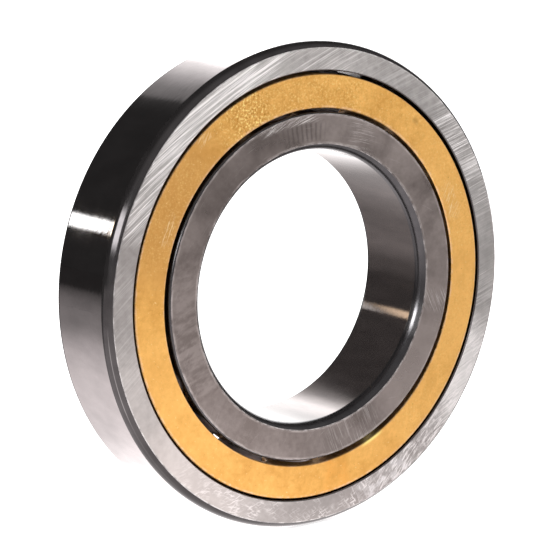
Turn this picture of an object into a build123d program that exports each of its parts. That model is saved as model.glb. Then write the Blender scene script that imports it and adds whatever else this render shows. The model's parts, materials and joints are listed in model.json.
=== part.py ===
from build123d import *
import math
import os

# Single-row angular contact ball bearing: an inner and an outer ring, seventeen balls and a
# one-piece machined cage that runs on the outer ring's shoulders.
#
# Frame: millimetres. The bearing turns about +Y and its origin is the centre of its bore. The
# open side, with the relieved outer shoulder and the high inner shoulder, faces -Y. The bearing
# stands on its rim, so +Z is up.
#
# Every ring section is drawn on the XY plane, where x is the radius and y the place along the
# axis, and is then turned about Y.

# Boundary dimensions
bore_diameter = 90.0
outside_diameter = 160.0
width = 30.0

# Rolling elements
ball_diameter = 19.05
ball_count = 17
first_ball_angle = 16.0
contact_angle = 25.0
pitch_radius = (bore_diameter + outside_diameter) / 4
ball_radius = ball_diameter / 2
ball_pitch_angle = 360 / ball_count

# Raceway grooves: a little wider than the ball, with a running gap on the contact line
outer_groove_radius = 0.525 * ball_diameter
inner_groove_radius = 0.515 * ball_diameter
running_gap = 0.12

# Ring corners: the ground corner is an arc whose legs are (radial, axial)
open_corner = (2.1, 3.7)
back_corner = (1.2, 1.8)
corner_roundness = 0.30

# Outer ring shoulders
outer_open_face_radius = 71.0
outer_open_land_radius = 70.65
outer_open_groove_edge_radius = 70.4
outer_back_land_radius = 70.1

# Inner ring shoulders
inner_open_land_radius = 57.4
inner_back_groove_edge_radius = 55.0
inner_back_land_radius = 54.6

# Small edge rounds (radial, axial) between a ring's face and its shoulder
outer_open_edge = (outer_open_face_radius - outer_open_land_radius, 0.5)
inner_open_edge = (0.65, 0.9)
back_edge = (0.5, 0.5)

# Cage
cage_outer_radius = 69.75
cage_inner_radius = 58.8
cage_open_recess = 0.5
cage_back_recess = 1.2
cage_edge = 0.25
pocket_clearance = 0.35
pocket_radius = ball_radius + pocket_clearance
pocket_overrun = 2.0

# Derived positions
bore_radius = bore_diameter / 2
outside_radius = outside_diameter / 2
open_y = -width / 2
back_y = width / 2
contact_radial = math.cos(math.radians(contact_angle))
contact_axial = math.sin(math.radians(contact_angle))


def groove_centre(groove_radius, side):
    """Centre of a groove's arc. side is +1 for the outer ring and -1 for the inner ring.

    The contact line leans towards the back on the outer ring and towards the open side on the
    inner ring, and each groove's centre lies past the ball's centre on that line.
    """
    shift = groove_radius - ball_radius - running_gap
    return (pitch_radius - side * shift * contact_radial, -side * shift * contact_axial)


def groove_edge(centre, groove_radius, land_radius, direction):
    """Point where a groove meets a shoulder. direction is -1 for the open side, +1 for the back."""
    reach = math.sqrt(groove_radius**2 - (land_radius - centre[0]) ** 2)
    return (land_radius, centre[1] + direction * reach)


def corner_arc(start, end, corner):
    """Arc from start to end that bows part of the way out to the sharp corner."""
    middle_radius = (start[0] + end[0]) / 2
    middle_y = (start[1] + end[1]) / 2
    through = (
        middle_radius + corner_roundness * (corner[0] - middle_radius),
        middle_y + corner_roundness * (corner[1] - middle_y),
    )
    return ThreePointArc(start, through, end)


def polar_direction(angle):
    """Unit vector out from the axis, at an angle from +X towards +Z."""
    return Vector(math.cos(math.radians(angle)), 0, math.sin(math.radians(angle)))


ball_angles = [first_ball_angle + index * ball_pitch_angle for index in range(ball_count)]
os.makedirs("parts", exist_ok=True)

# Outer ring: counterbored, with a tapered relief on the open side and a guide land at the back
outer_centre = groove_centre(outer_groove_radius, 1)
outer_open_groove = groove_edge(outer_centre, outer_groove_radius, outer_open_groove_edge_radius, -1)
outer_back_groove = groove_edge(outer_centre, outer_groove_radius, outer_back_land_radius, 1)
outer_groove_bottom = (outer_centre[0] + outer_groove_radius, outer_centre[1])
outer_open_land = (outer_open_land_radius, open_y + outer_open_edge[1])
outer_open_face_in = (outer_open_face_radius, open_y)
outer_open_face_out = (outside_radius - open_corner[0], open_y)
outer_open_rim = (outside_radius, open_y + open_corner[1])
outer_back_rim = (outside_radius, back_y - back_corner[1])
outer_back_face_out = (outside_radius - back_corner[0], back_y)
outer_back_face_in = (outer_back_land_radius + back_edge[0], back_y)
outer_back_land = (outer_back_land_radius, back_y - back_edge[1])

with BuildPart() as outer_ring:
    with BuildSketch(Plane.XY):
        with BuildLine():
            Line(outer_open_groove, outer_open_land)
            corner_arc(outer_open_land, outer_open_face_in, (outer_open_land_radius, open_y))
            Line(outer_open_face_in, outer_open_face_out)
            corner_arc(outer_open_face_out, outer_open_rim, (outside_radius, open_y))
            Line(outer_open_rim, outer_back_rim)
            corner_arc(outer_back_rim, outer_back_face_out, (outside_radius, back_y))
            Line(outer_back_face_out, outer_back_face_in)
            corner_arc(outer_back_face_in, outer_back_land, (outer_back_land_radius, back_y))
            Line(outer_back_land, outer_back_groove)
            ThreePointArc(outer_back_groove, outer_groove_bottom, outer_open_groove)
        make_face()
    revolve(axis=Axis.Y)
outer_ring.part.label = "outer_ring"
export_step(outer_ring.part, "parts/outer_ring.step")

# Inner ring: high shoulder on the open side, low tapered shoulder at the back
inner_centre = groove_centre(inner_groove_radius, -1)
inner_open_groove = groove_edge(inner_centre, inner_groove_radius, inner_open_land_radius, -1)
inner_back_groove = groove_edge(inner_centre, inner_groove_radius, inner_back_groove_edge_radius, 1)
inner_groove_bottom = (inner_centre[0] - inner_groove_radius, inner_centre[1])
inner_open_land = (inner_open_land_radius, open_y + inner_open_edge[1])
inner_open_face_out = (inner_open_land_radius - inner_open_edge[0], open_y)
inner_open_face_in = (bore_radius + open_corner[0], open_y)
inner_open_bore = (bore_radius, open_y + open_corner[1])
inner_back_bore = (bore_radius, back_y - back_corner[1])
inner_back_face_in = (bore_radius + back_corner[0], back_y)
inner_back_face_out = (inner_back_land_radius - back_edge[0], back_y)
inner_back_land = (inner_back_land_radius, back_y - back_edge[1])

with BuildPart() as inner_ring:
    with BuildSketch(Plane.XY):
        with BuildLine():
            Line(inner_open_groove, inner_open_land)
            corner_arc(inner_open_land, inner_open_face_out, (inner_open_land_radius, open_y))
            Line(inner_open_face_out, inner_open_face_in)
            corner_arc(inner_open_face_in, inner_open_bore, (bore_radius, open_y))
            Line(inner_open_bore, inner_back_bore)
            corner_arc(inner_back_bore, inner_back_face_in, (bore_radius, back_y))
            Line(inner_back_face_in, inner_back_face_out)
            corner_arc(inner_back_face_out, inner_back_land, (inner_back_land_radius, back_y))
            Line(inner_back_land, inner_back_groove)
            ThreePointArc(inner_back_groove, inner_groove_bottom, inner_open_groove)
        make_face()
    revolve(axis=Axis.Y)
inner_ring.part.label = "inner_ring"
export_step(inner_ring.part, "parts/inner_ring.step")

# Cage: a turned ring with one radial pocket drilled through it for each ball
cage_open_y = open_y + cage_open_recess
cage_back_y = back_y - cage_back_recess
cage_middle_radius = (cage_outer_radius + cage_inner_radius) / 2
pocket_start_radius = cage_inner_radius - pocket_overrun
pocket_depth = cage_outer_radius + pocket_overrun - pocket_start_radius
pocket_planes = [
    Plane(
        origin=polar_direction(angle) * pocket_start_radius,
        x_dir=(0, 1, 0),
        z_dir=polar_direction(angle),
    )
    for angle in ball_angles
]

with BuildPart() as cage:
    with BuildSketch(Plane.XY):
        with Locations((cage_middle_radius, (cage_open_y + cage_back_y) / 2)):
            blank = Rectangle(cage_outer_radius - cage_inner_radius, cage_back_y - cage_open_y)
        chamfer(blank.vertices(), cage_edge)
    revolve(axis=Axis.Y)
    with BuildSketch(*pocket_planes):
        Circle(pocket_radius)
    extrude(amount=pocket_depth, mode=Mode.SUBTRACT)
cage.part.label = "cage"
export_step(cage.part, "parts/cage.step")

# Balls, one in each pocket
for number, angle in enumerate(ball_angles, start=1):
    with BuildPart(Plane(origin=polar_direction(angle) * pitch_radius)) as ball:
        Sphere(ball_radius)
    ball.part.label = f"ball_{number:02d}"
    export_step(ball.part, f"parts/ball_{number:02d}.step")
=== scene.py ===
import bpy
import json
import math
from mathutils import Matrix, Vector


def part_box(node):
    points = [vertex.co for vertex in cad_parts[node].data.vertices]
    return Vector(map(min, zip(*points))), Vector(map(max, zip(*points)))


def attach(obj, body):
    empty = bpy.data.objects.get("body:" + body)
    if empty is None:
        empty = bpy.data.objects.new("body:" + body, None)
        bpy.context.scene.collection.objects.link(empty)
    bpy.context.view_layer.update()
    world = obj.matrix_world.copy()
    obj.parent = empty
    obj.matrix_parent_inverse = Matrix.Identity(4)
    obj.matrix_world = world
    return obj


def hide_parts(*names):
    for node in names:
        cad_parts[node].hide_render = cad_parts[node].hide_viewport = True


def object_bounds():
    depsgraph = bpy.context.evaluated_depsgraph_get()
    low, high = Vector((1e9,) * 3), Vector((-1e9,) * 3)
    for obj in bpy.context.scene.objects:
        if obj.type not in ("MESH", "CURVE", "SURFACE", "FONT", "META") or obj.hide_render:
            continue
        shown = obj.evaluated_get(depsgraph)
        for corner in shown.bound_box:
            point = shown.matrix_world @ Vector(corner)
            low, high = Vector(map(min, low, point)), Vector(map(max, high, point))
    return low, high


# Ball bearing with a one-piece brass cage, standing on its rim. Metres; the bearing turns about
# +Y, its open side faces -Y and its centre is the origin.

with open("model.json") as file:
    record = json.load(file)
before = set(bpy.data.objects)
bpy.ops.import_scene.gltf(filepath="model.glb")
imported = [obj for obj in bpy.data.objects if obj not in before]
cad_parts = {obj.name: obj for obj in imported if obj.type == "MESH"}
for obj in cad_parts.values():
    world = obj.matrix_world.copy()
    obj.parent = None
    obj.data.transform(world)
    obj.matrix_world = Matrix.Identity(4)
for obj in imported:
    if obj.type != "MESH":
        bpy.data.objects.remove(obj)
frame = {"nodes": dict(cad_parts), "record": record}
cad_low, cad_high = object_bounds()

MM = 0.001

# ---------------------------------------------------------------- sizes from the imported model
mounts = {mount["name"]: mount for mount in frame["record"]["mounts"]}
OUTSIDE_RADIUS = mounts["housing_diameter"]["dims"]["r_mm"] * MM
BORE_RADIUS = mounts["shaft_bore"]["dims"]["r_mm"] * MM
OPEN_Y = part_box("outer_ring")[0].y
BACK_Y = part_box("outer_ring")[1].y
INNER_OPEN_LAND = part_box("inner_ring")[1].x
CAGE_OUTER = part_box("cage")[1].x
CAGE_OPEN_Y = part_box("cage")[0].y
CAGE_BACK_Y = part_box("cage")[1].y

ball_nodes = sorted(name for name in frame["nodes"] if name.startswith("ball_"))
ball_centres = [(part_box(name)[0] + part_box(name)[1]) / 2 for name in ball_nodes]
BALL_RADIUS = (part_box(ball_nodes[0])[1].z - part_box(ball_nodes[0])[0].z) / 2
PITCH_RADIUS = ball_centres[0].length

# ---------------------------------------------------------------- sizes of the ring sections
OPEN_CORNER = (2.1 * MM, 3.7 * MM)
BACK_CORNER = (1.2 * MM, 1.8 * MM)
CORNER_ROUNDNESS = 0.30
EDGE_BREAK = 0.10 * MM
WORN_EDGE = 0.20 * MM

OUTER_OPEN_FACE = 71.0 * MM
OUTER_OPEN_LAND = 70.65 * MM
OUTER_OPEN_GROOVE_EDGE = 70.4 * MM
OUTER_BACK_LAND = 70.1 * MM
INNER_BACK_GROOVE_EDGE = 55.0 * MM
INNER_BACK_LAND = 54.6 * MM
INNER_OPEN_EDGE = (0.65 * MM, 0.9 * MM)
OUTER_OPEN_EDGE = (OUTER_OPEN_FACE - OUTER_OPEN_LAND, 0.5 * MM)
BACK_EDGE = (0.5 * MM, 0.5 * MM)

OUTER_GROOVE = 1.05 * BALL_RADIUS
INNER_GROOVE = 1.03 * BALL_RADIUS
RUNNING_GAP = 0.12 * MM
CONTACT_ANGLE = math.radians(25.0)

CAGE_INNER = 58.8 * MM
CAGE_EDGE = 0.25 * MM
CAGE_SAG = 0.30 * MM
POCKET_RADIUS = BALL_RADIUS + 0.35 * MM
POCKET_EDGE = 0.25 * MM

# ---------------------------------------------------------------- mesh detail
RING_SEGMENTS = 288
ROUND_STEPS = 3
LONGEST_ROUND = 0.4          # share of a side that the round at its end may take
POCKET_STEPS = 14            # steps along each side of a pocket's share of the cage
SKIN_BANDS = (0.0, 0.3, 0.62, 1.0)
WELD_GRID = 1e8              # points that agree to 1 / WELD_GRID metres are one point
CAGE_SHARP_ANGLE = math.radians(30.0)


# ---------------------------------------------------------------- camera
def make_camera():
    """Long lens, to the left of the open side and a little above it."""
    outside = 2 * OUTSIDE_RADIUS
    azimuth, elevation = math.radians(37.06), math.radians(10.71)
    distance = 4.612 * outside
    aim = Vector((-0.0203, 0.0180, 0.0126)) * outside
    place = Vector((
        -math.sin(azimuth) * math.cos(elevation),
        -math.cos(azimuth) * math.cos(elevation),
        math.sin(elevation),
    )) * distance
    data = bpy.data.cameras.new("camera")
    data.lens = 146.35
    data.sensor_width = 36.0
    data.clip_end = 50.0
    camera = bpy.data.objects.new("camera", data)
    camera.location = place
    camera.rotation_euler = (aim - place).to_track_quat("-Z", "Y").to_euler()
    bpy.context.scene.collection.objects.link(camera)
    bpy.context.scene.camera = camera


# ---------------------------------------------------------------- node helpers
class Nodes:
    """A material's node tree, with short ways to add and join nodes."""

    def __init__(self, name):
        self.material = bpy.data.materials.new(name)
        self.material.use_nodes = True
        self.tree = self.material.node_tree
        self.shader = self.tree.nodes["Principled BSDF"]

    def add(self, kind, **settings):
        node = self.tree.nodes.new(kind)
        for key, value in settings.items():
            setattr(node, key, value)
        return node

    def feed(self, socket, value):
        """Joins value to a socket, or sets it where value is a plain number, tuple or vector."""
        if isinstance(value, bpy.types.NodeSocket):
            self.tree.links.new(value, socket)
        else:
            socket.default_value = value

    def math(self, operation, *values, clamp=False):
        node = self.add("ShaderNodeMath", operation=operation, use_clamp=clamp)
        for socket, value in zip(node.inputs, values):
            self.feed(socket, value)
        return node.outputs[0]

    def place(self):
        """x, y, z of the point in the piece's own space, in millimetres."""
        coordinates = self.add("ShaderNodeTexCoord")
        scaled = self.add("ShaderNodeVectorMath", operation="SCALE")
        self.feed(scaled.inputs[0], coordinates.outputs["Object"])
        scaled.inputs["Scale"].default_value = 1 / MM
        split = self.add("ShaderNodeSeparateXYZ")
        self.feed(split.inputs[0], scaled.outputs[0])
        return split.outputs[0], split.outputs[1], split.outputs[2]

    def vector(self, x, y, z):
        node = self.add("ShaderNodeCombineXYZ")
        for socket, value in zip(node.inputs, (x, y, z)):
            self.feed(socket, value)
        return node.outputs[0]

    def noise(self, vector, scale=1.0, detail=3.0, roughness=0.5):
        node = self.add("ShaderNodeTexNoise")
        self.feed(node.inputs["Vector"], vector)
        node.inputs["Scale"].default_value = scale
        node.inputs["Detail"].default_value = detail
        node.inputs["Roughness"].default_value = roughness
        return node.outputs["Fac"]

    def ramp(self, value, low, high, out_low=0.0, out_high=1.0, smooth=False):
        """value carried from the range low to high over to out_low to out_high, held at its ends."""
        node = self.add("ShaderNodeMapRange")
        node.interpolation_type = "SMOOTHSTEP" if smooth else "LINEAR"
        for socket, item in zip(node.inputs, (value, low, high, out_low, out_high)):
            self.feed(socket, item)
        return node.outputs[0]

    def colours(self, value, dark, light):
        """dark where value is 0, light where it is 1, and between them in between."""
        node = self.add("ShaderNodeMix", data_type="RGBA")
        self.feed(node.inputs[0], value)
        node.inputs[6].default_value = (*dark, 1.0)
        node.inputs[7].default_value = (*light, 1.0)
        return node.outputs[2]

    def tint(self, value, base, colour):
        """base, turned towards colour where value is high."""
        node = self.add("ShaderNodeMix", data_type="RGBA")
        self.feed(node.inputs[0], value)
        self.feed(node.inputs[6], base)
        node.inputs[7].default_value = (*colour, 1.0)
        return node.outputs[2]

    def product(self, first, *others):
        for other in others:
            first = self.math("MULTIPLY", first, other)
        return first

    def total(self, first, *others):
        for other in others:
            first = self.math("ADD", first, other)
        return first

    def inverse(self, value):
        """1 where value is 0, and 0 where it is 1."""
        return self.math("SUBTRACT", 1.0, value)

    def hypotenuse(self, first, second):
        """Distance between two points that lie first and second apart along two axes."""
        return self.math("SQRT", self.total(self.product(first, first), self.product(second, second)))

    def bump(self, height, distance, strength=1.0):
        """Relief of a height from 0 to 1, as deep as distance, in metres."""
        node = self.add("ShaderNodeBump")
        node.inputs["Strength"].default_value = strength
        node.inputs["Distance"].default_value = distance
        self.feed(node.inputs["Height"], height)
        self.feed(self.shader.inputs["Normal"], node.outputs[0])

    def finish(self, colour, roughness, metallic=1.0):
        self.feed(self.shader.inputs["Base Color"], colour)
        self.feed(self.shader.inputs["Roughness"], roughness)
        self.shader.inputs["Metallic"].default_value = metallic
        return self.material


def scratches(nodes, x, z, direction, along, across, seed, bow=0.0):
    """Noise drawn out into scratches. direction is their angle in the ring's plane, in degrees;
    along and across are their length and width in millimetres; bow curves them slightly."""
    angle = math.radians(direction)
    run = nodes.total(nodes.product(x, math.cos(angle)), nodes.product(z, math.sin(angle)))
    rise = nodes.total(nodes.product(z, math.cos(angle)), nodes.product(x, -math.sin(angle)))
    bowed = nodes.total(rise, nodes.product(run, run, bow))
    vector = nodes.vector(nodes.math("DIVIDE", run, along), nodes.math("DIVIDE", bowed, across), seed)
    return nodes.noise(vector, detail=4.0, roughness=0.6)


def outward_vector(nodes, x, z, ragged):
    """Unit vector out from the axis. ragged, in millimetres, makes it wander, so that what is
    marked out with it has uneven edges."""
    drift = []
    for seed in (31.0, 57.0):
        wander = nodes.noise(nodes.vector(x, seed, z), scale=0.12, detail=3.0)
        drift.append(nodes.product(nodes.math("SUBTRACT", wander, 0.5), ragged))
    moved = nodes.vector(nodes.total(x, drift[0]), 0.0, nodes.total(z, drift[1]))
    outward = nodes.add("ShaderNodeVectorMath", operation="NORMALIZE")
    nodes.feed(outward.inputs[0], moved)
    return outward.outputs[0]


def sector(nodes, outward, centre, half, fade=4.0):
    """1 within half a width of an angle round the axis, in degrees from +X towards +Z, else 0, with
    soft edges. outward comes from outward_vector."""
    angle = math.radians(centre)
    along = nodes.add("ShaderNodeVectorMath", operation="DOT_PRODUCT")
    nodes.feed(along.inputs[0], outward)
    along.inputs[1].default_value = (math.cos(angle), 0.0, math.sin(angle))
    out_edge = math.cos(math.radians(half + fade))
    in_edge = math.cos(math.radians(max(half - fade, 0.0)))
    return nodes.ramp(along.outputs["Value"], out_edge, in_edge, smooth=True)


def sectors(nodes, outward, marked, fade=4.0):
    """Sum of sectors, each given as its angle, half width and strength."""
    parts = [nodes.product(sector(nodes, outward, centre, half, fade), strength)
             for centre, half, strength in marked]
    return nodes.total(*parts)


def band(nodes, place, low, high, fade):
    """1 where place, a distance in millimetres, is between low and high, else 0, with soft edges."""
    rise = nodes.ramp(place, low - fade, low + fade, smooth=True)
    fall = nodes.ramp(place, high - fade, high + fade, 1.0, 0.0, smooth=True)
    return nodes.product(rise, fall)


# ---------------------------------------------------------------- materials
def ground_face():
    """Outer ring's side faces: grinding strokes in one direction, heavy in some places and faint in
    others, with scribbled handling marks low down. Painted light, painted shade and painted
    highlights by angle round the ring make parts of the face lighter or darker, and the strokes
    are painted palest where they would catch the light."""
    nodes = Nodes("ground_face")
    x, y, z = nodes.place()
    here = nodes.vector(x, y, z)
    outward = outward_vector(nodes, x, z, ragged=14.0)
    broad = nodes.noise(here, scale=0.05, detail=3.0)
    mottle = nodes.noise(here, scale=0.5, detail=3.0)
    tone = nodes.total(nodes.product(broad, 0.6), nodes.product(mottle, 0.4))
    plain = nodes.colours(nodes.ramp(tone, 0.40, 0.60), (0.325, 0.305, 0.295), (0.445, 0.419, 0.406))

    # Painted light and painted shade by angle round the ring: low on the left the face is painted lighter,
    # other parts are painted darker, and some get painted highlights.
    painted_light_low = sectors(nodes, outward, ((214.0, 20.0, 0.22), (230.0, 14.0, 0.34)), fade=10.0)
    painted_shade_sectors = sectors(nodes, outward, ((262.0, 22.0, 0.36), (302.0, 18.0, 0.46), (170.0, 14.0, 0.22)),
                   fade=12.0)
    painted_sheen = sectors(nodes, outward, ((122.0, 18.0, 0.32), (146.0, 12.0, 0.16), (331.0, 11.0, 0.78),
                                     (10.0, 20.0, 0.11)), fade=8.0)
    painted_shade_tone = nodes.tint(painted_shade_sectors, plain, (0.27, 0.232, 0.222))
    painted_light_and_shade = nodes.tint(nodes.product(painted_light_low, 0.62), painted_shade_tone, (0.84, 0.74, 0.70))
    lit = nodes.tint(painted_sheen, painted_light_and_shade, (0.92, 0.89, 0.87))

    coarse = scratches(nodes, x, z, 29.0, 44.0, 0.80, 3.0, bow=0.0014)
    fine = scratches(nodes, x, z, 31.0, 18.0, 0.30, 11.0, bow=0.0014)
    # The grinding strokes are real marks; painting them palest in these sectors is painted highlight, where
    # they would catch the light.
    strokes_and_glint_here = sectors(nodes, outward, (
        (31.0, 15.0, 0.75), (62.0, 12.0, 0.16), (88.0, 12.0, 0.42), (118.0, 17.0, 1.20),
        (148.0, 14.0, 1.00), (185.0, 16.0, 0.14), (297.0, 9.0, 0.20), (325.0, 14.0, 0.60),
        (346.0, 9.0, 0.34), (4.0, 9.0, 0.12)))
    stroke = nodes.total(nodes.product(nodes.ramp(coarse, 0.52, 0.62), 0.8),
                         nodes.product(nodes.ramp(fine, 0.51, 0.60), 0.7))
    dark_stroke = nodes.product(nodes.ramp(coarse, 0.47, 0.34), strokes_and_glint_here, 0.50)
    scored = nodes.tint(dark_stroke, lit, (0.22, 0.20, 0.195))
    bright = nodes.math("MULTIPLY", stroke, strokes_and_glint_here, clamp=True)

    broken = nodes.ramp(nodes.noise(here, scale=0.30, detail=4.0), 0.40, 0.52)
    feather = nodes.ramp(scratches(nodes, x, z, 44.0, 5.0, 0.75, 53.0, bow=0.003), 0.48, 0.56)
    feather_here = sectors(nodes, outward, ((309.0, 17.0, 0.75), (333.0, 10.0, 0.95)), fade=6.0)
    feathered = nodes.product(feather, broken, feather_here)
    scribble_a = nodes.ramp(scratches(nodes, x, z, -24.0, 3.0, 0.80, 41.0, bow=0.008), 0.52, 0.60)
    scribble_b = nodes.ramp(scratches(nodes, x, z, 62.0, 2.4, 0.70, 67.0, bow=-0.006), 0.53, 0.60)
    pale_where = sectors(nodes, outward, ((243.0, 15.0, 0.42), (278.0, 8.0, 0.50), (297.0, 9.0, 0.40),
                                      (316.0, 10.0, 0.25)), fade=9.0)
    worn_here = nodes.ramp(nodes.noise(nodes.vector(z, 7.0, x), scale=0.16, detail=4.0), 0.42, 0.60)
    flecks = nodes.product(nodes.math("MAXIMUM", scribble_a, scribble_b), pale_where, worn_here)
    scribble = nodes.math("MAXIMUM", flecks, feathered)
    patch_here = sector(nodes, outward, 294.0, 8.0)
    patch = nodes.product(nodes.ramp(nodes.noise(here, scale=0.22, detail=3.0), 0.47, 0.60), patch_here)

    marked = nodes.tint(bright, scored, (0.97, 0.93, 0.92))
    scribbled = nodes.tint(scribble, marked, (0.95, 0.90, 0.89))
    colour = nodes.tint(nodes.product(patch, 0.36), scribbled, (0.97, 0.94, 0.95))
    roughness = nodes.ramp(fine, 0.3, 0.7, 0.30, 0.44)
    height = nodes.total(nodes.product(bright, 0.8), nodes.product(scribble, 0.6),
                         nodes.product(mottle, 0.3))
    nodes.bump(height, 0.04 * MM, 0.5)
    return nodes.finish(colour, roughness)


def lapped_face():
    """Inner ring's side faces: darker and smoother, with brushed patches, a short comb of chatter
    marks, a few white scratches and pale worn margins."""
    nodes = Nodes("lapped_face")
    x, y, z = nodes.place()
    here = nodes.vector(x, y, z)
    outward = outward_vector(nodes, x, z, ragged=6.0)
    radius, turn = nodes.hypotenuse(x, z), nodes.math("ARCTAN2", z, x)
    cloud = nodes.noise(here, scale=0.09, detail=3.0)
    grain = nodes.noise(here, scale=0.7, detail=4.0)
    soft = scratches(nodes, x, z, 24.0, 9.0, 3.0, 5.0)
    brushed = sectors(nodes, outward, ((198.0, 16.0, 1.0), (172.0, 8.0, 0.6), (20.0, 14.0, 0.3)))
    patches = nodes.product(nodes.math("SUBTRACT", soft, 0.5), brushed, 1.4)
    level = nodes.total(nodes.product(cloud, 0.65), nodes.product(grain, 0.35), patches)
    # Painted shade and painted light: parts of the face made darker or lighter by angle round the ring.
    shade = sectors(nodes, outward, ((128.0, 22.0, 0.46), (284.0, 14.0, 0.24)), fade=12.0)
    light = sectors(nodes, outward, ((322.0, 14.0, 0.62), (60.0, 22.0, 0.16), (2.0, 10.0, 0.22)),
                    fade=12.0)
    clear = nodes.colours(nodes.ramp(level, 0.36, 0.64), (0.188, 0.157, 0.146), (0.285, 0.244, 0.230))
    shaded = nodes.tint(shade, clear, (0.125, 0.104, 0.097))
    base = nodes.tint(light, shaded, (0.40, 0.345, 0.325))

    chatter = nodes.math("SINE", nodes.total(nodes.product(turn, 178.0), nodes.product(cloud, 8.0)))
    chatter_here = nodes.product(sector(nodes, outward, 96.0, 8.0), band(nodes, radius, 48.3, 54.0, 0.8))
    comb = nodes.product(nodes.ramp(chatter, -0.2, 0.9), chatter_here, 0.60)
    combed = nodes.tint(comb, base, (0.11, 0.095, 0.09))

    fine_comb = scratches(nodes, x, z, -66.0, 9.0, 0.42, 71.0)
    fine_here = sectors(nodes, outward, ((287.0, 11.0, 0.26), (349.0, 1.0, 0.6)))
    fine_marks = nodes.product(nodes.ramp(fine_comb, 0.52, 0.64), fine_here)
    white = scratches(nodes, x, z, -22.0, 7.0, 0.34, 17.0, bow=0.02)
    white_here = nodes.product(sector(nodes, outward, 101.0, 10.0), band(nodes, radius, 54.3, 57.0, 0.7))
    white_marks = nodes.product(nodes.ramp(white, 0.51, 0.57), white_here, 1.2)
    slanted = scratches(nodes, x, z, 20.0, 12.0, 0.28, 29.0, bow=0.01)
    slanted_here = nodes.product(nodes.ramp(slanted, 0.55, 0.62), sector(nodes, outward, 69.0, 4.0), 0.5)
    rare = nodes.product(nodes.ramp(slanted, 0.64, 0.72), 0.3)
    marks = nodes.math("MAXIMUM", nodes.math("MAXIMUM", fine_marks, white_marks),
                       nodes.math("MAXIMUM", rare, slanted_here))
    marked = nodes.tint(marks, combed, (0.74, 0.70, 0.68))

    margin = nodes.inverse(band(nodes, radius, 47.7, 56.2, 0.35))
    wear = nodes.ramp(nodes.noise(nodes.vector(nodes.product(turn, 14.0), radius, 3.0), scale=0.9,
                                  detail=4.0, roughness=0.7), 0.40, 0.62)
    colour = nodes.tint(nodes.product(margin, wear, 0.65), marked, (0.58, 0.52, 0.50))
    roughness = nodes.ramp(cloud, 0.35, 0.65, 0.27, 0.38)
    height = nodes.total(nodes.product(marks, 0.8), nodes.product(comb, -0.8), nodes.product(grain, 0.4))
    nodes.bump(height, 0.03 * MM, 0.5)
    return nodes.finish(colour, roughness)


def worn_edge(name, dark, light):
    """Thin line where a face's edge has been rubbed bright."""
    nodes = Nodes(name)
    x, y, z = nodes.place()
    rub = nodes.noise(nodes.vector(x, y, z), scale=0.35, detail=5.0, roughness=0.7)
    colour = nodes.colours(nodes.ramp(rub, 0.42, 0.60), dark, light)
    roughness = nodes.ramp(rub, 0.3, 0.7, 0.30, 0.50)
    nodes.bump(rub, 0.04 * MM, 0.5)
    return nodes.finish(colour, roughness)


def honed_cylinder(name, dark, light, low_roughness, high_roughness, metallic=1.0,
                   wave_height=0.006 * MM):
    """Outside diameter, bore and lands: polished, with very fine lines round the axis and a trace
    of waviness, which makes reflections uneven."""
    nodes = Nodes(name)
    x, y, z = nodes.place()
    turn = nodes.math("ARCTAN2", z, x)
    lines = nodes.noise(nodes.vector(nodes.product(turn, 3.0), nodes.product(y, 1.1), 1.0),
                        detail=5.0, roughness=0.65)
    smear = nodes.noise(nodes.vector(nodes.product(turn, 13.0), nodes.product(y, 0.08), 4.0),
                        detail=3.0)
    colour = nodes.colours(nodes.ramp(smear, 0.35, 0.65), dark, light)
    roughness = nodes.ramp(nodes.total(nodes.product(lines, 0.6), nodes.product(smear, 0.4)),
                           0.35, 0.65, low_roughness, high_roughness)
    waves = nodes.noise(nodes.vector(nodes.product(turn, 26.0), nodes.product(y, 0.7), 8.0),
                        detail=2.0)
    nodes.bump(waves, wave_height)
    return nodes.finish(colour, roughness, metallic)


def turned_corner(name, dark, light, pale_where=None, painted_highlight_angle=None, metallic=0.85, polish=(0.10, 0.16)):
    """Rounded ring corners: dark, fine-turned steel. The argument after the two colours is the place
    along the axis, in millimetres, of a thin paler line, a painted highlight, that runs part of the
    way round, beside a darker part that is painted shade. The argument after that is the angle,
    in degrees, of a short part painted paler, also a painted highlight."""
    nodes = Nodes(name)
    x, y, z = nodes.place()
    turn = nodes.math("ARCTAN2", z, x)
    lines = nodes.noise(nodes.vector(nodes.product(turn, 2.0), nodes.product(y, 5.0), 6.0), detail=4.0)
    cloud = nodes.noise(nodes.vector(x, y, z), scale=0.15, detail=3.0)
    colour = nodes.colours(nodes.ramp(cloud, 0.3, 0.7), dark, light)
    if pale_where is not None:
        outward = outward_vector(nodes, x, z, ragged=3.0)
        # Painted highlight: a thin paler line part of the way round the corner.
        line = nodes.product(band(nodes, y, pale_where - 0.08, pale_where + 0.08, 0.14),
                             sectors(nodes, outward, ((195.0, 9.0, 0.34), (212.0, 14.0, 0.10))))
        # Painted shade: the corner darkened round 232 degrees.
        shade = sector(nodes, outward, 232.0, 16.0, fade=14.0)
        shaded = nodes.tint(nodes.product(shade, 0.55), colour, (0.030, 0.027, 0.027))
        colour = nodes.tint(line, shaded, (0.62, 0.58, 0.58))
    # Painted highlight: a short part of the corner painted paler.
    if painted_highlight_angle is not None:
        outward = outward_vector(nodes, x, z, ragged=3.0)
        painted_highlight_mask = sector(nodes, outward, painted_highlight_angle, 2.0, fade=7.0)
        colour = nodes.tint(painted_highlight_mask, colour, (0.20, 0.19, 0.195))
    roughness = nodes.ramp(lines, 0.35, 0.65, *polish)
    nodes.bump(lines, 0.008 * MM, 0.3)
    return nodes.finish(colour, roughness, metallic)


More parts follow.
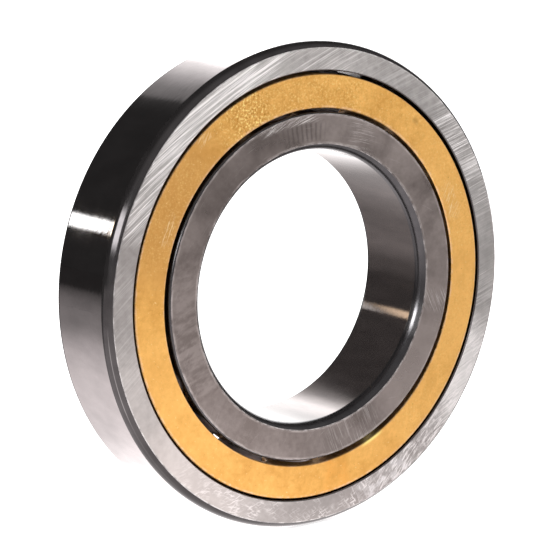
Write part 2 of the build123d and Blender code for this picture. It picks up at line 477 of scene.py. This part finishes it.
def raceway_steel(name, colour_low, colour_high, roughness_low, roughness_high, metallic=1.0):
    """Grooves and balls: lapped steel with a trace of clouding."""
    nodes = Nodes(name)
    x, y, z = nodes.place()
    cloud = nodes.noise(nodes.vector(x, y, z), scale=0.3, detail=4.0)
    fine = nodes.noise(nodes.vector(x, y, z), scale=3.0, detail=3.0)
    colour = nodes.colours(nodes.ramp(cloud, 0.35, 0.65), colour_low, colour_high)
    roughness = nodes.ramp(fine, 0.3, 0.7, roughness_low, roughness_high)
    nodes.bump(fine, 0.002 * MM, 0.2)
    return nodes.finish(colour, roughness, metallic)


def cage_brass():
    """Turned brass: satin and soft-toned, with a crystalline patch near the top whose sparkle is
    painted on as bright flecks, a few pale marks, a dark fleck, a streak, a painted glint, edges
    painted paler as a highlight, and painted light and shade by angle round the ring."""
    nodes = Nodes("cage_brass")
    x, y, z = nodes.place()
    here = nodes.vector(x, y, z)
    outward = outward_vector(nodes, x, z, ragged=5.0)
    radius, turn = nodes.hypotenuse(x, z), nodes.math("ARCTAN2", z, x)
    cloud = nodes.noise(here, scale=0.10, detail=4.0)
    grain = nodes.noise(here, scale=1.8, detail=4.0, roughness=0.7)
    drift = nodes.noise(nodes.vector(nodes.product(turn, 16.0), nodes.product(radius, 0.30), y),
                        detail=4.0)
    blotch = nodes.noise(here, scale=0.55, detail=3.0, roughness=0.6)
    level = nodes.total(nodes.product(cloud, 0.34), nodes.product(grain, 0.20), nodes.product(drift, 0.22),
                        nodes.product(blotch, 0.24))
    clear = nodes.colours(nodes.ramp(level, 0.40, 0.60), (0.66, 0.338, 0.080), (0.88, 0.502, 0.148))
    # Painted shade and painted light: parts of the brass made darker or lighter by angle round the ring.
    shade = sectors(nodes, outward, ((151.0, 19.0, 0.60), (106.0, 14.0, 0.12), (246.0, 16.0, 0.14)),
                    fade=13.0)
    light = sectors(nodes, outward, ((208.0, 15.0, 0.28), (10.0, 34.0, 0.40), (322.0, 24.0, 0.26)),
                    fade=14.0)
    shaded = nodes.tint(shade, clear, (0.55, 0.28, 0.085))
    base = nodes.tint(light, shaded, (0.98, 0.57, 0.18))

    # The crystalline speckle is real; its bright flecks, strongest in these sectors, are painted sparkle
    # highlights.
    lively = sectors(nodes, outward, ((100.0, 26.0, 0.50), (114.0, 4.5, 0.9), (40.0, 36.0, 0.24),
                                      (152.0, 16.0, 0.26), (330.0, 26.0, 0.20)))
    crystal = nodes.noise(here, scale=1.25, detail=3.0, roughness=0.65)
    glitter = nodes.product(nodes.ramp(crystal, 0.53, 0.66), lively)
    lit = nodes.tint(nodes.product(glitter, 0.85), base, (0.98, 0.80, 0.32))
    pits = nodes.product(nodes.ramp(crystal, 0.45, 0.33), lively)
    pitted = nodes.tint(nodes.product(pits, 0.75), lit, (0.46, 0.20, 0.035))

    specks = nodes.noise(nodes.vector(z, y, x), scale=1.1, detail=2.0)
    pricked = nodes.tint(nodes.product(nodes.ramp(specks, 0.66, 0.73), 0.45), pitted, (0.98, 0.84, 0.42))
    dotted = nodes.tint(nodes.product(nodes.ramp(specks, 0.32, 0.26), 0.45), pricked, (0.42, 0.19, 0.05))

    pale_here = nodes.total(
        nodes.product(sector(nodes, outward, 130.0, 2.0, fade=1.5), band(nodes, radius, 66.0, 69.0, 0.5)),
        nodes.product(sector(nodes, outward, 157.0, 4.0, fade=2.0), band(nodes, radius, 60.5, 63.5, 0.8)),
        nodes.product(sector(nodes, outward, 22.0, 5.0, fade=2.0), band(nodes, radius, 60.0, 65.0, 1.0)))
    pale = nodes.product(nodes.ramp(scratches(nodes, x, z, 66.0, 4.0, 0.45, 83.0), 0.51, 0.60), pale_here)
    marked = nodes.tint(nodes.product(pale, 0.6), dotted, (0.97, 0.80, 0.48))
    fleck_here = nodes.product(sector(nodes, outward, 50.5, 0.2, fade=1.0),
                               band(nodes, radius, 65.8, 67.2, 1.0))
    flecked = nodes.tint(nodes.product(fleck_here, 0.5), marked, (0.36, 0.18, 0.05))
    streak = nodes.product(sector(nodes, outward, 278.0, 3.0, fade=2.5), nodes.ramp(drift, 0.35, 0.6), 0.45)
    streaked = nodes.tint(streak, flecked, (0.80, 0.36, 0.07))

    # Painted highlight: the brass is painted paler along its edges.
    rim = nodes.inverse(band(nodes, radius, 59.35, 69.2, 0.25))
    pale_where = nodes.ramp(nodes.noise(here, scale=0.5, detail=4.0, roughness=0.7), 0.40, 0.62)
    rim_light = nodes.tint(nodes.product(rim, pale_where, 0.45), streaked, (0.98, 0.72, 0.52))
    # Painted glint near the inner edge.
    glint = nodes.product(sector(nodes, outward, 294.0, 2.0, fade=3.5),
                          band(nodes, radius, 59.0, 60.1, 0.6))
    colour = nodes.tint(glint, rim_light, (1.0, 0.84, 0.30))
    roughness = nodes.ramp(grain, 0.3, 0.7, 0.40, 0.56)
    height = nodes.total(nodes.product(grain, 0.4), nodes.product(glitter, 0.9), nodes.product(pale, 0.5))
    nodes.bump(height, 0.05 * MM, 0.45)
    return nodes.finish(colour, roughness)


# ---------------------------------------------------------------- ring sections
def arc_points(start, end, corner, steps):
    """Points of the arc from start to end that bows towards corner, without its two ends."""
    middle = ((start[0] + end[0]) / 2, (start[1] + end[1]) / 2)
    through = (middle[0] + CORNER_ROUNDNESS * (corner[0] - middle[0]),
               middle[1] + CORNER_ROUNDNESS * (corner[1] - middle[1]))
    centre = circle_centre(start, through, end)
    return turn_about(centre, start, end, through, steps)


def circle_centre(a, b, c):
    """Centre of the circle through three points."""
    d = 2 * (a[0] * (b[1] - c[1]) + b[0] * (c[1] - a[1]) + c[0] * (a[1] - b[1]))
    aa, bb, cc = a[0]**2 + a[1]**2, b[0]**2 + b[1]**2, c[0]**2 + c[1]**2
    return ((aa * (b[1] - c[1]) + bb * (c[1] - a[1]) + cc * (a[1] - b[1])) / d,
            (aa * (c[0] - b[0]) + bb * (a[0] - c[0]) + cc * (b[0] - a[0])) / d)


def turn_about(centre, start, end, through, steps):
    """Points from start to end on a circle, on the side that passes through."""
    radius = math.dist(centre, start)
    first = math.atan2(start[1] - centre[1], start[0] - centre[0])
    half = math.atan2(through[1] - centre[1], through[0] - centre[0]) - first
    half = (half + math.pi) % (2 * math.pi) - math.pi
    rest = math.atan2(end[1] - centre[1], end[0] - centre[0]) - first - half
    rest = (rest + math.pi) % (2 * math.pi) - math.pi
    sweep = half + rest
    return [(centre[0] + radius * math.cos(first + sweep * i / steps),
             centre[1] + radius * math.sin(first + sweep * i / steps)) for i in range(1, steps)]


class Section:
    """A closed ring section: points (radius, y), each with the size of its edge round, the surface
    that follows it and the surface of the round itself."""

    def __init__(self):
        self.points = []

    def corner(self, point, surface, edge=EDGE_BREAK, round_surface=None):
        self.points.append((point, edge, surface, round_surface or surface))

    def bow(self, start, end, sharp, surface, steps=10, **first):
        """Arc from start to end that bows part of the way out to a sharp corner."""
        self.corner(start, surface, **first)
        for point in arc_points(start, end, sharp, steps):
            self.corner(point, surface, edge=0.0)

    def groove(self, start, end, bottom, surface, steps=28):
        """Arc from start to end through the groove's bottom."""
        self.corner(start, surface)
        centre = circle_centre(start, bottom, end)
        for point in turn_about(centre, start, end, bottom, steps):
            self.corner(point, surface, edge=0.0)

    def outline(self, steps=ROUND_STEPS):
        """Points and surface of each side, with every marked edge rounded."""
        result = []
        count = len(self.points)
        for index, (point, edge, surface, round_surface) in enumerate(self.points):
            if edge == 0.0:
                result.append((point, surface))
                continue
            before = Vector(self.points[index - 1][0]) - Vector(point)
            after = Vector(self.points[(index + 1) % count][0]) - Vector(point)
            reach = min(edge, before.length * LONGEST_ROUND, after.length * LONGEST_ROUND)
            start = Vector(point) + before.normalized() * reach
            end = Vector(point) + after.normalized() * reach
            for step in range(steps + 1):
                t = step / steps
                place = start * (1 - t)**2 + Vector(point) * 2 * t * (1 - t) + end * t**2
                result.append((tuple(place), surface if step == steps else round_surface))
        return result


def lathe(name, outline, surfaces, segments):
    """Mesh of a section turned about Y. surfaces maps a surface's name to its material."""
    count = len(outline)
    points = []
    for segment in range(segments):
        angle = 2 * math.pi * segment / segments
        for (radius, y), _ in outline:
            points.append((radius * math.cos(angle), y, radius * math.sin(angle)))
    faces, indices = [], []
    names = list(surfaces)
    for segment in range(segments):
        here, there = segment * count, (segment + 1) % segments * count
        for side in range(count):
            following = (side + 1) % count
            faces.append((here + side, there + side, there + following, here + following))
            indices.append(names.index(outline[side][1]))
    return build_piece(name, points, faces, indices, surfaces)


def build_piece(name, points, faces, indices, surfaces):
    """Object with smooth shading, whose broad faces keep their own normals."""
    mesh = bpy.data.meshes.new(name)
    mesh.from_pydata(points, [], faces)
    for material in surfaces.values():
        mesh.materials.append(material)
    mesh.polygons.foreach_set("material_index", indices)
    mesh.polygons.foreach_set("use_smooth", [True] * len(faces))
    mesh.validate()
    piece = bpy.data.objects.new(name, mesh)
    bpy.context.scene.collection.objects.link(piece)
    shade = piece.modifiers.new("broad faces", "WEIGHTED_NORMAL")
    shade.mode = "FACE_AREA"
    shade.weight = 100
    shade.keep_sharp = True
    return piece


def groove_centre(groove_radius, side):
    """Centre (radius, y) of a groove's arc. side is +1 for the outer ring, -1 for the inner."""
    shift = groove_radius - BALL_RADIUS - RUNNING_GAP
    return (PITCH_RADIUS - side * shift * math.cos(CONTACT_ANGLE),
            -side * shift * math.sin(CONTACT_ANGLE))


def groove_edge(centre, groove_radius, land, direction):
    """Where a groove meets a shoulder. direction is -1 for the open side, +1 for the back."""
    reach = math.sqrt(groove_radius**2 - (land - centre[0])**2)
    return (land, centre[1] + direction * reach)


def outer_ring_section():
    centre = groove_centre(OUTER_GROOVE, 1)
    open_groove = groove_edge(centre, OUTER_GROOVE, OUTER_OPEN_GROOVE_EDGE, -1)
    back_groove = groove_edge(centre, OUTER_GROOVE, OUTER_BACK_LAND, 1)
    bottom = (centre[0] + OUTER_GROOVE, centre[1])
    open_land = (OUTER_OPEN_LAND, OPEN_Y + OUTER_OPEN_EDGE[1])
    open_face_in = (OUTER_OPEN_FACE, OPEN_Y)
    open_face_out = (OUTSIDE_RADIUS - OPEN_CORNER[0], OPEN_Y)
    open_rim = (OUTSIDE_RADIUS, OPEN_Y + OPEN_CORNER[1])
    back_rim = (OUTSIDE_RADIUS, BACK_Y - BACK_CORNER[1])
    back_face_out = (OUTSIDE_RADIUS - BACK_CORNER[0], BACK_Y)
    back_face_in = (OUTER_BACK_LAND + BACK_EDGE[0], BACK_Y)
    back_land = (OUTER_BACK_LAND, BACK_Y - BACK_EDGE[1])
    section = Section()
    section.corner(open_groove, "land")
    section.bow(open_land, open_face_in, (OUTER_OPEN_LAND, OPEN_Y), "relief", steps=5)
    section.corner(open_face_in, "face")
    section.bow(open_face_out, open_rim, (OUTSIDE_RADIUS, OPEN_Y), "corner",
                edge=WORN_EDGE, round_surface="worn_edge")
    section.corner(open_rim, "cylinder")
    section.bow(back_rim, back_face_out, (OUTSIDE_RADIUS, BACK_Y), "corner")
    section.corner(back_face_out, "face")
    section.bow(back_face_in, back_land, (OUTER_BACK_LAND, BACK_Y), "corner", steps=5)
    section.corner(back_land, "land")
    section.groove(back_groove, open_groove, bottom, "raceway")
    return section


def inner_ring_section():
    centre = groove_centre(INNER_GROOVE, -1)
    open_groove = groove_edge(centre, INNER_GROOVE, INNER_OPEN_LAND, -1)
    back_groove = groove_edge(centre, INNER_GROOVE, INNER_BACK_GROOVE_EDGE, 1)
    bottom = (centre[0] - INNER_GROOVE, centre[1])
    open_land = (INNER_OPEN_LAND, OPEN_Y + INNER_OPEN_EDGE[1])
    open_face_out = (INNER_OPEN_LAND - INNER_OPEN_EDGE[0], OPEN_Y)
    open_face_in = (BORE_RADIUS + OPEN_CORNER[0], OPEN_Y)
    open_bore = (BORE_RADIUS, OPEN_Y + OPEN_CORNER[1])
    back_bore = (BORE_RADIUS, BACK_Y - BACK_CORNER[1])
    back_face_in = (BORE_RADIUS + BACK_CORNER[0], BACK_Y)
    back_face_out = (INNER_BACK_LAND - BACK_EDGE[0], BACK_Y)
    back_land = (INNER_BACK_LAND, BACK_Y - BACK_EDGE[1])
    section = Section()
    section.corner(open_groove, "land")
    section.bow(open_land, open_face_out, (INNER_OPEN_LAND, OPEN_Y), "corner", steps=6)
    section.corner(open_face_out, "face", edge=WORN_EDGE, round_surface="worn_edge")
    section.bow(open_face_in, open_bore, (BORE_RADIUS, OPEN_Y), "corner",
                edge=WORN_EDGE, round_surface="worn_edge")
    section.corner(open_bore, "cylinder")
    section.bow(back_bore, back_face_in, (BORE_RADIUS, BACK_Y), "corner")
    section.corner(back_face_in, "face")
    section.bow(back_face_out, back_land, (INNER_BACK_LAND, BACK_Y), "corner", steps=5)
    section.corner(back_land, "land")
    section.groove(back_groove, open_groove, bottom, "raceway")
    return section


# ---------------------------------------------------------------- cage
class Weld:
    """Collects points and faces, giving points in the same place one number."""

    def __init__(self):
        self.points, self.faces, self.seen = [], [], {}

    def point(self, place):
        key = tuple(round(value * WELD_GRID) for value in place)
        if key not in self.seen:
            self.seen[key] = len(self.points)
            self.points.append(place)
        return self.seen[key]

    def strip(self, first, second):
        """Quads between two loops of places of the same length."""
        count = len(first)
        a, b = [self.point(p) for p in first], [self.point(p) for p in second]
        for i in range(count):
            j = (i + 1) % count
            corners = list(dict.fromkeys((a[i], a[j], b[j], b[i])))
            if len(corners) > 2:
                self.faces.append(tuple(corners))


def on_cylinder(radius, angle, y):
    return (radius * math.cos(angle), y, radius * math.sin(angle))


def sector_border(half, low, high):
    """Places (angle, y) round one pocket's share of the cylinder, starting along its low side."""
    shares = [step / POCKET_STEPS for step in range(POCKET_STEPS)]
    border = [(-half + 2 * half * share, low) for share in shares]
    border += [(half, low + (high - low) * share) for share in shares]
    border += [(half - 2 * half * share, high) for share in shares]
    border += [(-half, high - (high - low) * share) for share in shares]
    return border


def make_cage(brass):
    """Turned ring with a radial pocket for each ball, its rims and pocket mouths chamfered. It rests
    low in its running clearance."""
    weld = Weld()
    half = math.pi / len(ball_centres)
    low, high = CAGE_OPEN_Y + CAGE_EDGE, CAGE_BACK_Y - CAGE_EDGE
    border = sector_border(half, low, high)
    for centre in ball_centres:
        middle = math.atan2(centre.z, centre.x)
        phases = [math.atan2(y - centre.y, angle * PITCH_RADIUS) for angle, y in border]

        def pocket_loop(radius, opening):
            return [on_cylinder(radius, middle + math.asin(opening * math.cos(phase) / radius),
                                centre.y + opening * math.sin(phase)) for phase in phases]

        def skin(radius, flip):
            """Cylinder between the pocket's mouth and the sector's border, in three bands."""
            mouth = POCKET_RADIUS + POCKET_EDGE
            hole = [(math.asin(mouth * math.cos(phase) / radius), centre.y + mouth * math.sin(phase))
                    for phase in phases]
            bands = []
            for share in SKIN_BANDS:
                bands.append([on_cylinder(radius, middle + h[0] * (1 - share) + b[0] * share,
                                          h[1] * (1 - share) + b[1] * share)
                              for h, b in zip(hole, border)])
            for inside, outside in zip(bands, bands[1:]):
                weld.strip(*((outside, inside) if flip else (inside, outside)))

        skin(CAGE_OUTER, flip=True)
        skin(CAGE_INNER, flip=False)
        mouths = [
            pocket_loop(CAGE_OUTER, POCKET_RADIUS + POCKET_EDGE),
            pocket_loop(CAGE_OUTER - POCKET_EDGE, POCKET_RADIUS),
            pocket_loop((CAGE_OUTER + CAGE_INNER) / 2, POCKET_RADIUS),
            pocket_loop(CAGE_INNER + POCKET_EDGE, POCKET_RADIUS),
            pocket_loop(CAGE_INNER, POCKET_RADIUS + POCKET_EDGE),
        ]
        for upper, lower in zip(mouths, mouths[1:]):
            weld.strip(upper, lower)
    angles = []
    for centre in ball_centres:
        middle = math.atan2(centre.z, centre.x)
        angles += [middle + angle for angle, _ in border[:POCKET_STEPS]]
    for y_edge, y_face, flip in ((low, CAGE_OPEN_Y, False), (high, CAGE_BACK_Y, True)):
        rims = [(CAGE_OUTER, y_edge), (CAGE_OUTER - CAGE_EDGE, y_face),
                (CAGE_INNER + CAGE_EDGE, y_face), (CAGE_INNER, y_edge)]
        loops = [[on_cylinder(radius, angle, y) for angle in angles] for radius, y in rims]
        for first, second in zip(loops, loops[1:]):
            weld.strip(*((second, first) if flip else (first, second)))
    piece = build_piece("brass_cage", weld.points, weld.faces, [0] * len(weld.faces), {"brass": brass})
    piece.data.set_sharp_from_angle(angle=CAGE_SHARP_ANGLE)
    piece.data.transform(Matrix.Translation((0.0, 0.0, -CAGE_SAG)))
    return piece


# ---------------------------------------------------------------- the bearing
def make_bearing():
    # The rim's corner gets a painted highlight line beside a part of painted shade.
    rim_corner = turned_corner("turned_rim_corner", (0.062, 0.056, 0.057), (0.090, 0.082, 0.083),
                               pale_where=-13.6)
    # The bore's corner gets a short painted highlight at 340 degrees.
    bore_corner = turned_corner("turned_bore_corner", (0.060, 0.056, 0.059), (0.085, 0.080, 0.083),
                                painted_highlight_angle=340.0, polish=(0.18, 0.26))
    relief = turned_corner("turned_relief", (0.050, 0.045, 0.047), (0.080, 0.073, 0.076), metallic=0.3)
    raceway = raceway_steel("raceway_steel", (0.15, 0.135, 0.135), (0.22, 0.20, 0.20), 0.16, 0.26)
    ball_steel = raceway_steel("ball_steel", (0.66, 0.57, 0.57), (0.78, 0.68, 0.68), 0.30, 0.40,
                               metallic=0.65)
    land = honed_cylinder("ground_land", (0.11, 0.095, 0.095), (0.16, 0.14, 0.14), 0.11, 0.19)

    outer_surfaces = {
        "face": ground_face(), "corner": rim_corner, "relief": relief, "land": land,
        "raceway": raceway,
        "worn_edge": worn_edge("worn_rim_edge", (0.30, 0.28, 0.275), (0.66, 0.63, 0.62)),
        "cylinder": honed_cylinder("honed_rim", (0.55, 0.50, 0.50), (0.65, 0.59, 0.59), 0.03, 0.10,
                                   wave_height=0.012 * MM),
    }
    outer = lathe("steel_outer_ring", outer_ring_section().outline(), outer_surfaces, RING_SEGMENTS)
    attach(outer, "outer_ring")
    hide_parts("outer_ring")

    inner_surfaces = {
        "face": lapped_face(), "corner": bore_corner, "land": land, "raceway": raceway,
        "worn_edge": worn_edge("worn_bore_edge", (0.16, 0.14, 0.135), (0.50, 0.46, 0.45)),
        "cylinder": honed_cylinder("honed_bore", (0.108, 0.091, 0.088), (0.132, 0.111, 0.107),
                                   0.05, 0.10, metallic=0.80),
    }
    inner = lathe("steel_inner_ring", inner_ring_section().outline(), inner_surfaces, RING_SEGMENTS)
    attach(inner, "inner_ring")
    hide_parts("inner_ring")

    cage = make_cage(cage_brass())
    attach(cage, "cage")
    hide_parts("cage")

    for name in ball_nodes:
        frame["nodes"][name].data.materials[0] = ball_steel


# ---------------------------------------------------------------- studio
# The corners of sheets are in metres. What varies over a sheet is worked out from its x, y and z
# in millimetres, as in the materials.
DARK = 0.025                 # light that the darkest parts of the room still give
SKY_STRENGTH = 1.6
FLOOR_HALF = 8.0
FLOOR_GLOW = 0.6
TABLE_HALF = 4.0
TABLE_COLOUR = (1.0, 0.965, 0.965)
ROOM_RADIUS = 5.0
ROOM_FRONT = 0.35            # light of the room's front wall


def four_sided(name, corners):
    mesh = bpy.data.meshes.new(name)
    mesh.from_pydata(corners, [], [(0, 1, 2, 3)])
    return mesh


def on_the_ground(half):
    """Corners of a square on the surface that the bearing stands on, centred below it."""
    return [(-half, -half, cad_low.z), (half, -half, cad_low.z),
            (half, half, cad_low.z), (-half, half, cad_low.z)]


def card(name, corners):
    """Sheet of light that only mirror-like surfaces see. Returns its nodes, ready for a strength."""
    return glossy_only(name, four_sided(name, corners))


def glossy_only(name, mesh):
    """Adds a mesh that only reflections show, and returns its material's nodes."""
    sheet = bpy.data.objects.new(name, mesh)
    bpy.context.scene.collection.objects.link(sheet)
    sheet.visible_camera = False
    sheet.visible_diffuse = False
    sheet.visible_transmission = False
    sheet.visible_shadow = False
    nodes = Nodes(name)
    mesh.materials.append(nodes.material)
    return nodes


def glow(nodes, strength, colour=(1.0, 1.0, 1.0)):
    """Makes the material give light of a strength that varies over its surface."""
    emission = nodes.add("ShaderNodeEmission")
    emission.inputs["Color"].default_value = (*colour, 1.0)
    nodes.feed(emission.inputs["Strength"], strength)
    output = nodes.tree.nodes["Material Output"]
    nodes.tree.links.new(emission.outputs[0], output.inputs["Surface"])


def make_backdrop():
    """White sheet behind and to the right, whose light dies away towards its left end."""
    left, right, depth, bottom, top = -0.3, 2.4, 1.0, cad_low.z, 0.84
    nodes = card("backdrop", [(left, depth, bottom), (right, depth, bottom),
                              (right, depth, top), (left, depth, top)])
    x, y, z = nodes.place()
    dim = nodes.math("POWER", nodes.ramp(x, -150.0, 550.0), 2.4)
    full = nodes.ramp(x, 330.0, 560.0, smooth=True)
    left_end = nodes.ramp(x, -30.0, 25.0, 0.55, 1.0, smooth=True)
    hump = nodes.product(nodes.ramp(x, -20.0, 25.0, smooth=True), nodes.ramp(x, 50.0, 150.0, 0.09, 0.0))
    across = nodes.total(nodes.product(dim, left_end, 2.9), nodes.product(full, 2.2), hump)
    far_end = nodes.ramp(x, 550.0, 780.0, 1.0, 0.52, smooth=True)
    upper_edge = nodes.ramp(z, 740.0, 830.0, 1.0, 0.0, smooth=True)
    glow(nodes, nodes.total(nodes.product(across, upper_edge, far_end), DARK))


def make_lamp(name, left, ends, edges, softness, strength, colour):
    """Upright lamp face at x = left (m), between two ends along Y and two edges along Z (mm)."""
    margin = 2 * softness
    low_y, high_y = (ends[0] - margin) * MM, (ends[1] + margin) * MM
    low_z, high_z = (edges[0] - margin) * MM, (edges[1] + margin) * MM
    nodes = card(name, [(left, low_y, low_z), (left, high_y, low_z),
                        (left, high_y, high_z), (left, low_y, high_z)])
    x, y, z = nodes.place()
    inside = nodes.product(band(nodes, y, *ends, softness), band(nodes, z, *edges, softness))
    glow(nodes, nodes.total(nodes.product(inside, strength), DARK), colour)


def make_table_glow():
    """The table as mirrors see it: bright just behind, dimmer in front, far left, on the right and
    in the bearing's own shade."""
    nodes = card("table_glow", on_the_ground(TABLE_HALF))
    x, y, z = nodes.place()
    slant = nodes.total(x, nodes.product(y, -0.8))
    far = nodes.ramp(slant, -1150.0, -450.0, 0.0, 0.25)
    middle = nodes.ramp(slant, -430.0, -120.0, 0.0, 0.75, smooth=True)
    near = nodes.ramp(slant, -125.0, -35.0, 0.0, 1.2, smooth=True)
    from_shade = nodes.hypotenuse(nodes.math("SUBTRACT", x, 5.0), nodes.math("SUBTRACT", y, 145.0))
    shade = nodes.ramp(from_shade, 30.0, 115.0, 0.62, 1.0, smooth=True)
    beside = nodes.product(nodes.total(nodes.ramp(x, 20.0, 75.0, 0.0, 0.50, smooth=True),
                                       nodes.ramp(x, 75.0, 190.0, 0.0, 0.20, smooth=True)),
                           nodes.ramp(y, 90.0, 220.0, 1.0, 0.0, smooth=True))
    behind = nodes.product(nodes.total(far, middle, near), shade, nodes.inverse(beside))
    leftward = nodes.ramp(nodes.total(x, nodes.product(y, 0.55)), -30.0, 30.0, 1.5, 0.85, smooth=True)
    before = nodes.product(nodes.ramp(nodes.hypotenuse(x, y), 90.0, 520.0, 1.14, 0.4), leftward)
    side = nodes.ramp(nodes.total(y, nodes.product(x, 0.5)), -35.0, 25.0, smooth=True)
    glow(nodes, nodes.total(nodes.product(behind, side), nodes.product(before, nodes.inverse(side)), DARK),
         TABLE_COLOUR)


def make_room():
    """Dark room all round, a little lighter on the side that the bearing's open face looks at."""
    radius, rings, segments = ROOM_RADIUS, 12, 32
    points, faces = [], []
    for ring in range(rings + 1):
        height = math.pi / 2 * ring / rings
        for segment in range(segments):
            turn = 2 * math.pi * segment / segments
            points.append((radius * math.cos(height) * math.cos(turn),
                           radius * math.cos(height) * math.sin(turn),
                           radius * math.sin(height) + cad_low.z))
    for ring in range(rings):
        for segment in range(segments):
            following = (segment + 1) % segments
            faces.append((ring * segments + segment, ring * segments + following,
                          (ring + 1) * segments + following, (ring + 1) * segments + segment))
    mesh = bpy.data.meshes.new("dark_room")
    mesh.from_pydata(points, [], faces)
    nodes = glossy_only("dark_room", mesh)
    x, y, z = nodes.place()
    glow(nodes, nodes.ramp(y, 1500.0, -1500.0, DARK, ROOM_FRONT, smooth=True))


def make_front_fill():
    """Soft sheet in front and to the right, which the flat faces mirror."""
    (left_x, left_y), (right_x, right_y), top = (0.2, -1.5), (1.8, -0.9), 0.9
    nodes = card("front_fill", [(left_x, left_y, 0.0), (right_x, right_y, 0.0),
                                (right_x, right_y, top), (left_x, left_y, top)])
    x, y, z = nodes.place()
    glow(nodes, nodes.ramp(x, 200.0, 1100.0, 1.0, 2.4, smooth=True))


def make_sky():
    """Even white light from all round, which reflections don't show."""
    world = bpy.data.worlds.new("studio")
    bpy.context.scene.world = world
    world.use_nodes = True
    background = world.node_tree.nodes["Background"]
    background.inputs["Color"].default_value = (1.0, 0.995, 0.99, 1.0)
    background.inputs["Strength"].default_value = SKY_STRENGTH
    world.cycles_visibility.glossy = False


def make_floor():
    """Plain pale paper that glows a little. Reflections show the table's glow in its place."""
    mesh = four_sided("floor", on_the_ground(FLOOR_HALF))
    floor = bpy.data.objects.new("floor", mesh)
    bpy.context.scene.collection.objects.link(floor)
    floor.visible_glossy = False
    nodes = Nodes("floor_paper")
    nodes.finish((0.98, 0.975, 0.97, 1.0), 0.9, metallic=0.0)
    nodes.shader.inputs["Specular IOR Level"].default_value = 0.0
    nodes.shader.inputs["Emission Color"].default_value = (1.0, 1.0, 1.0, 1.0)
    nodes.shader.inputs["Emission Strength"].default_value = FLOOR_GLOW
    mesh.materials.append(nodes.material)


def make_studio():
    make_sky()
    make_floor()
    make_table_glow()
    make_backdrop()
    make_lamp("warm_lamp", left=-0.568, ends=(620.0, 752.0), edges=(191.0, 257.0), softness=12.0,
              strength=5.8, colour=(1.0, 0.81, 0.56))
    make_lamp("far_lamp", left=-0.57, ends=(740.0, 2000.0), edges=(191.0, 257.0), softness=13.0,
              strength=3.4, colour=(0.94, 1.0, 1.0))
    make_lamp("near_lamp", left=-0.57, ends=(-330.0, 130.0), edges=(145.0, 297.0), softness=25.0,
              strength=10.0, colour=(0.97, 0.99, 1.0))
    make_room()
    make_front_fill()


make_camera()
make_bearing()
make_studio()
bpy.context.scene.view_settings.view_transform = "Standard"
